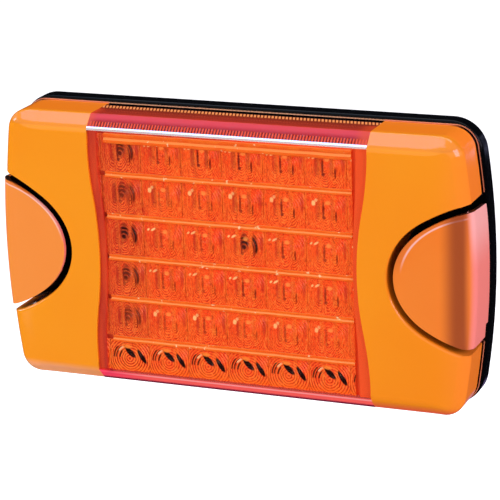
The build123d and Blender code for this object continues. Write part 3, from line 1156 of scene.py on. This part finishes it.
def rings_and_grain(made, cell, fine):
    """The optics' orange with the flutes' edges and the ring pattern in painted light, grain and
    streaks.
    """
    drift = made.noise(90, 3.0)
    swirl = made.noise(420, 3.0, 0.6)
    streaky = made.noise(900, 3.0, 0.65, (1, 1, 0.22))
    edges = abs(cell.u).band(flute_width / 2, 0.45, 0.4)
    edges = edges.larger(abs(cell.u).band(1.5 * flute_width, 0.35, 0.35)) * cell.v.step(-4.2, -1.5)
    local = (cell.u / flute_width + 0.5).math("FRACT") - 0.5
    bent = cell.u + local * (flute_width * 1.2) * cell.upper
    reach = distance(bent, cell.v) + (swirl - 0.5) * (cell.upper * 1.6 + 0.5)
    rings = reach.wave(ring_pitch)
    strength = cell.v.step(1.5, -3.0) * 0.32 + cell.lowest * 0.15 + cell.leftmost * 0.3 + 0.22
    made.colour = made.blend(drift.step(0.35, 0.65), (250, 74, 26), (254, 94, 30))
    made.paint(
        # painted light along the flutes' edges
        (edges * 0.6, (252, 124, 44)),
        # the rings painted with bands of shade and light
        (rings.step(0.1, 0.95) * strength, (158, 30, 18)),
        (rings.step(-0.2, -0.95) * strength, (255, 150, 64)),
        (fine.step(0.52, 0.64) * 0.55, (255, 158, 74)),
        (fine.step(0.46, 0.34) * 0.55, (170, 30, 18)),
        (streaky.step(0.54, 0.64) * (cell.upper_left * 0.26 + 0.04), (160, 30, 30)),
        (streaky.step(0.44, 0.35) * (cell.upper_left * 0.2 + 0.06), (255, 140, 56)),
        # painted shade over the cells on the far left
        (cell.far_left * cell.upper * 0.3, (186, 44, 44)),
        (cell.v.step(-1.0, -5.0) * cell.lowest * 0.55, (252, 134, 30)),
    )


def dark_marks(made, cell):
    """Painted shade in the cells above the lowest row: dark bars, spots, streaks and shades."""
    bars = cell.u.band(1.9, 0.3, 0.5).larger(cell.u.band(-2.4, 0.3, 0.5))
    bars = bars * cell.v.band(0.6, 2.2, 1.6) * (cell.chance(11.0) * 0.5 + 0.1)
    strength = cell.column.math("COMPARE", 3.0, 0.1) * cell.rows[2] * 1.1
    for row, share in zip(cell.rows, (0.95, 0.85, 1.1, 0.95, 0.75)):
        strength = strength + cell.leftmost * row * share
    breaks = cell.radius.wave(1.2).step(-0.9, 0.2)
    shade_spots = cell.spots((0.2, 1.4, 1.25, 2.6, 0.35), (3.5, 1.0, 0.95, 2.8, 0.35, 8))
    streaks = cell.spots(
        (-0.75, 0.2, 0.34, 2.5, 0.5), (-0.6, -1.95, 0.5, 0.55, 0.3), (3.05, -1.4, 0.3, 1.5, 0.4)
    )
    streaks = streaks * (cell.chance(3.0) * 0.5 + cell.rows[0] * 0.3 + 0.35)
    shades = cell.spots((5.5, 1.4, 0.55, 2.4, 0.5), (-2.9, 0.4, 0.4, 2.8, 0.6))
    shades = shades * (cell.chance(5.0) * 0.4 + 0.3)
    # painted shade, where the optics show the dark inside
    made.paint(
        (bars * cell.upper * (cell.upper_left * 0.8 + 0.2), (140, 26, 28)),
        (shade_spots * (breaks * 0.5 + 0.5) * strength * 0.9, (56, 10, 14)),
        (streaks * cell.upper, (110, 20, 18)),
        (shades * cell.upper, (176, 36, 30)),
    )


def lowest_row_marks(made, cell):
    """The lowest row's painted dark reflections in wedges and arcs, its painted pale patch and
    glint.
    """
    radius = cell.radius
    wedge = cell.spot(0.1, 2.1, 2.35, 0.85, 0.18, -46) * cell.u.band(0.1, 1.85, 0.12)
    right_wedge = cell.spot(3.95, 0.9, 2.5, 0.75, 0.18, -56) * cell.u.step(2.25, 2.5)
    arcs = radius.band(5.2, 0.14, 0.14).larger(radius.band(4.45, 0.12, 0.12))
    arcs = arcs.larger(radius.band(3.3, 0.2, 0.15)) * cell.u.step(-2.3, -2.6)
    arcs = arcs * cell.v.band(1.9, 1.5, 0.5)
    glint = radius.band(4.1, 0.2, 0.15) * cell.spot(-2.9, 3.0, 0.9, 0.9, 0.4)
    # painted dark reflections, a painted patch of light and a painted glint
    made.paint(
        (wedge.larger(right_wedge, arcs * 0.85) * cell.lowest, (26, 8, 10)),
        (cell.spot(-0.5, 3.75, 1.3, 0.6, 0.3) * cell.lowest * 0.9, (255, 150, 60)),
        (glint * cell.lowest, (255, 196, 150)),
    )


def bright_marks(made, cell):
    """Painted highlights: strokes or drops of light in the upper left of most cells, a paler patch
    each.
    """
    strokes = cell.spots((-4.7, 2.9, 0.5, 0.28, 0.35, 40), (-3.2, 3.0, 0.75, 0.32, 0.35, 32))
    strokes = strokes * (cell.rows[0] + cell.rows[2] + cell.rows[3])
    drops = cell.spot(-3.75, 2.2, 0.55, 0.75, 0.3)
    drops = drops.larger(cell.spot(-3.0, 3.1, 0.4, 0.5, 0.4) * 0.7) * (cell.rows[1] + cell.rows[4])
    glints = strokes.larger(drops) * (cell.chance(7.0) * 0.35 + 0.65)
    patch = cell.spot(0.6, 2.5, 0.75, 0.6, 0.5) * cell.upper
    # painted highlights
    made.paint(
        (glints * cell.leftmost.inverse(), (255, 226, 160)),
        (patch * cell.leftmost.inverse() * 0.75, (255, 168, 84)),
    )


def optics_material():
    """Coloured optics: rings and flutes tint it, with painted shade and highlights in each cell.
    """
    made = Material("optics")
    cell = CellPlace(made)
    fine = made.noise(1400, 4.0, 0.75, (1, 1, 0.6))
    rings_and_grain(made, cell, fine)
    dark_marks(made, cell)
    lowest_row_marks(made, cell)
    bright_marks(made, cell)
    # a painted glow in the optics' own colour, though they are no lamp
    return made.plastic(fine * 0.15 + 0.3, 0.4, 0.15)


def margin_material():
    """The plain darker strips beside the cells, painted in shade on the left, with a faint painted
    glow.
    """
    made = Material("optics_margin")
    grain = made.noise(300, 3.0, 0.6, (1, 1, 0.1))
    made.colour = made.blend(grain.step(0.35, 0.7), (196, 56, 44), (226, 80, 42))
    # painted light: the right half is painted lighter than the shaded left
    made.paint((made.axes()[0].step(-10, 10) * 0.85, (255, 98, 42)))
    made.bump(grain, 0.03, 0.3)
    # a faint painted glow
    return made.plastic(grain * 0.1 + 0.35, glow=0.06)


def ledge_material():
    """The ledges between the rows: painted paler where they face up, with painted glints and a
    faint painted glow.
    """
    made = Material("optics_ledge")
    grain = made.noise(700, 3.0, 0.6, (0.35, 1, 1))
    painted_glints = made.noise(650, 2.0, 0.5).step(0.66, 0.72)
    made.colour = made.blend(grain.step(0.3, 0.75), (250, 106, 28), (255, 134, 42))
    made.paint(
        # painted light on the faces that look up, and painted glints
        (made.facing()[2].step(0.1, 0.8), (255, 172, 92)),
        (painted_glints, (255, 232, 190)),
    )
    made.bump(grain, 0.02, 0.3)
    # a faint painted glow
    return made.plastic(grain * 0.1 + 0.25, glow=0.02)


margin = margin_material()
for piece, material in (
    (lens_cells(), optics_material()),
    (lens_margin(), margin),
    (side_strip("left_strip", 0, -2.0, 0.72), margin),
    (side_strip("right_strip", 1, 1.3, 0.4), margin),
    (ledges(), ledge_material()),
):
    dress(piece, "lamp", material, "window", "centre_lens")


# -------- carried-over pieces
sleeve_steel = plain("sleeve_steel", (150, 152, 156), (175, 177, 180), 0.28, Metallic=1.0)
finishes = {
    "base_housing": black_plastic(),
    "lens_seal": plain("seal_rubber", (18, 18, 19), (30, 30, 31), 0.6),
    "cable_grommet": plain("grommet_rubber", (20, 20, 21), (34, 34, 35), 0.55),
    "reflector_plate": plain("reflector", (205, 205, 208), (225, 225, 228), 0.05, Metallic=1.0),
    "led_board": plain("board", (30, 62, 44), (42, 78, 56), 0.3),
    "led_bodies": plain("led_body", (225, 222, 210), (238, 236, 226), 0.35),
    "led_domes": plain("led_dome", (235, 200, 90), (245, 215, 120), 0.1),
    "resistors": plain("resistor", (22, 22, 24), (36, 36, 38), 0.4),
    "driver_chip": plain("chip", (20, 20, 22), (32, 32, 35), 0.45),
    "diodes": plain("diode", (24, 24, 25), (38, 38, 40), 0.45),
    "capacitor": plain("capacitor_can", (180, 182, 186), (200, 202, 206), 0.25, Metallic=1.0),
    "wire_terminals": plain("terminal_tin", (185, 185, 180), (205, 205, 200), 0.25, Metallic=1.0),
    "board_screws": plain("screw_steel", (150, 152, 156), (172, 174, 178), 0.3, Metallic=1.0),
    "vent_plug": plain("vent_plastic", (40, 41, 43), (54, 55, 58), 0.5),
    "left_sleeve": sleeve_steel,
    "right_sleeve": sleeve_steel,
}
for node, material in finishes.items():
    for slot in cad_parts[node].material_slots:
        slot.material = material


# -------- camera
camera_place = (0.249716, -0.613227, 0.202523)
camera_yaw = math.radians(22.294)
camera_elevation = math.radians(17.205)
camera_roll = math.radians(-1.914)
camera_lens = 166.18

camera = add_object("camera", bpy.data.cameras.new("camera"))
camera.data.lens = camera_lens
camera.data.clip_start = 0.05
camera.data.clip_end = 60.0
camera.matrix_world = (
    Matrix.Translation(camera_place)
    @ Matrix.Rotation(camera_yaw, 4, "Z")
    @ Matrix.Rotation(math.pi / 2 - camera_elevation, 4, "X")
    @ Matrix.Rotation(camera_roll, 4, "Z")
)
bpy.context.scene.camera = camera
bpy.context.scene.view_settings.view_transform = "Standard"


# -------- floor, room and lights
def seen_rays(tree):
    """1 for the rays that see the background: from the camera, mirrored or let through."""
    kinds = ("Camera", "Glossy", "Transmission")
    first, *others = [field(tree, "LightPath", f"Is {kind} Ray") for kind in kinds]
    return first.larger(*others)


def matt(name, colour, **values):
    """A dull material of one colour for the stage."""
    made = Material(name)
    made.set(Base_Color=srgb(*colour), Roughness=0.9, Specular_IOR_Level=0.0, **values)
    return made


def pale_floor(steps=96):
    """A pale floor well below the lamp, which stands on a wall; it keeps the lamp's shadow."""
    radius, drop = 9000.0, -240.0
    turns = once_round(steps)
    points = [(radius * math.cos(turn), -radius * math.sin(turn), drop) for turn in turns]
    floor = make_object("floor", points, [tuple(range(steps))])
    made = matt("floor_pale", (235, 235, 235), Emission_Color=(1, 1, 1, 1))
    made.set(Emission_Strength=seen_rays(made.tree) * 0.75)
    floor.data.materials.append(made.material)


def white_room(fill=0.35):
    """The world: white where it is seen, a soft even light of this strength elsewhere."""
    world = bpy.data.worlds.new("room")
    bpy.context.scene.world = world
    world.use_nodes = True
    background = world.node_tree.nodes["Background"]
    background.inputs["Color"].default_value = (1, 1, 1, 1)
    strength = seen_rays(world.node_tree) * (1 - fill) + fill
    feed(world.node_tree, background.inputs["Strength"], strength)


def soft_box(name, place, width, height, radiance, colour=(1, 1, 1), target=(0, 0, 0)):
    """A rectangular area light, in metres, aimed at target; its watts follow from its radiance."""
    light = bpy.data.lights.new(name, "AREA")
    light.shape = "RECTANGLE"
    light.size = width
    light.size_y = height
    light.energy = radiance * math.pi * width * height
    light.color = colour
    lamp = add_object(name, light)
    lamp.location = place
    direction = Vector(target) - Vector(place)
    lamp.rotation_euler = direction.to_track_quat("-Z", "Y").to_euler()
    return lamp


def dark_card(name, first, opposite, colour):
    """A matt board between two corners, in metres, that only mirror-like surfaces see."""
    (x0, y0, z0), (x1, y1, z1) = first, opposite
    if x0 == x1:
        second, fourth = (x0, y1, z0), (x0, y0, z1)
    else:
        second, fourth = (x1, y0, z0), (x0, y1, z1)
    mesh = bpy.data.meshes.new(name)
    mesh.from_pydata([first, second, opposite, fourth], [], [(0, 1, 2, 3)])
    card = add_object(name, mesh)
    mesh.materials.append(matt(name, colour).material)
    for ray in ("camera", "diffuse", "transmission", "shadow"):
        setattr(card, f"visible_{ray}", False)


pale_floor()
white_room()
cards = {
    "back": ((-1.3, 0.55, -0.14), (1.3, 0.75, 0.8)),
    "roof": ((-1.3, 0.75, 0.79), (1.3, 0.4, 1.3)),
    "corner": ((0.1, 0.5, -0.235), (0.7, 0.5, -0.12)),
    "haze": ((-0.6, 0.27, -0.215), (0.1, 0.62, -0.215)),
    "side": ((0.1, 0.25, -0.22), (0.7, 0.52, -0.22)),
    "low": ((-0.45, -0.42, -0.235), (0.4, -0.5, 0.0)),
    "left": ((-0.6, -0.75, -0.235), (-0.6, 0.6, 0.15)),
    "right": ((0.6, -0.8, -0.235), (0.6, 0.45, 0.08)),
    "under": ((-0.55, -0.4, -0.2), (0.55, 0.3, -0.2)),
}
dark_grey = (22, 22, 24)
haze = (132, 116, 156)
for name, (first, opposite) in cards.items():
    dark_card(f"{name}_card", first, opposite, haze if name == "haze" else dark_grey)
cool = (0.95, 0.94, 1.0)
rose = (1.0, 0.8, 1.0)
violet = (0.88, 0.66, 1.0)
blue = (0.6, 0.6, 1.0)
deep_blue = (0.2, 0.5, 1.0)
key = soft_box("key_box", (-0.9, -0.9, 0.5), 0.8, 0.8, 4.1, cool)
key.visible_glossy = False
soft_box("top_box", (-0.31, -0.335, 1.0), 0.8, 0.3, 3.9, deep_blue)
soft_box("left_box", (-1.0, -0.15, 0.48), 0.3, 0.3, 9.0, rose)
soft_box("sky_box", (0.0, 0.15, 1.0), 1.0, 0.4, 3.4)
soft_box("side_box", (1.05, -0.4, 0.42), 0.6, 0.6, 8.0, violet)
rear = soft_box("rear_box", (0.229, 0.5, 0.02), 0.05, 0.16, 2.2, blue, (0.07, 0, 0.02))
rear.visible_camera = False
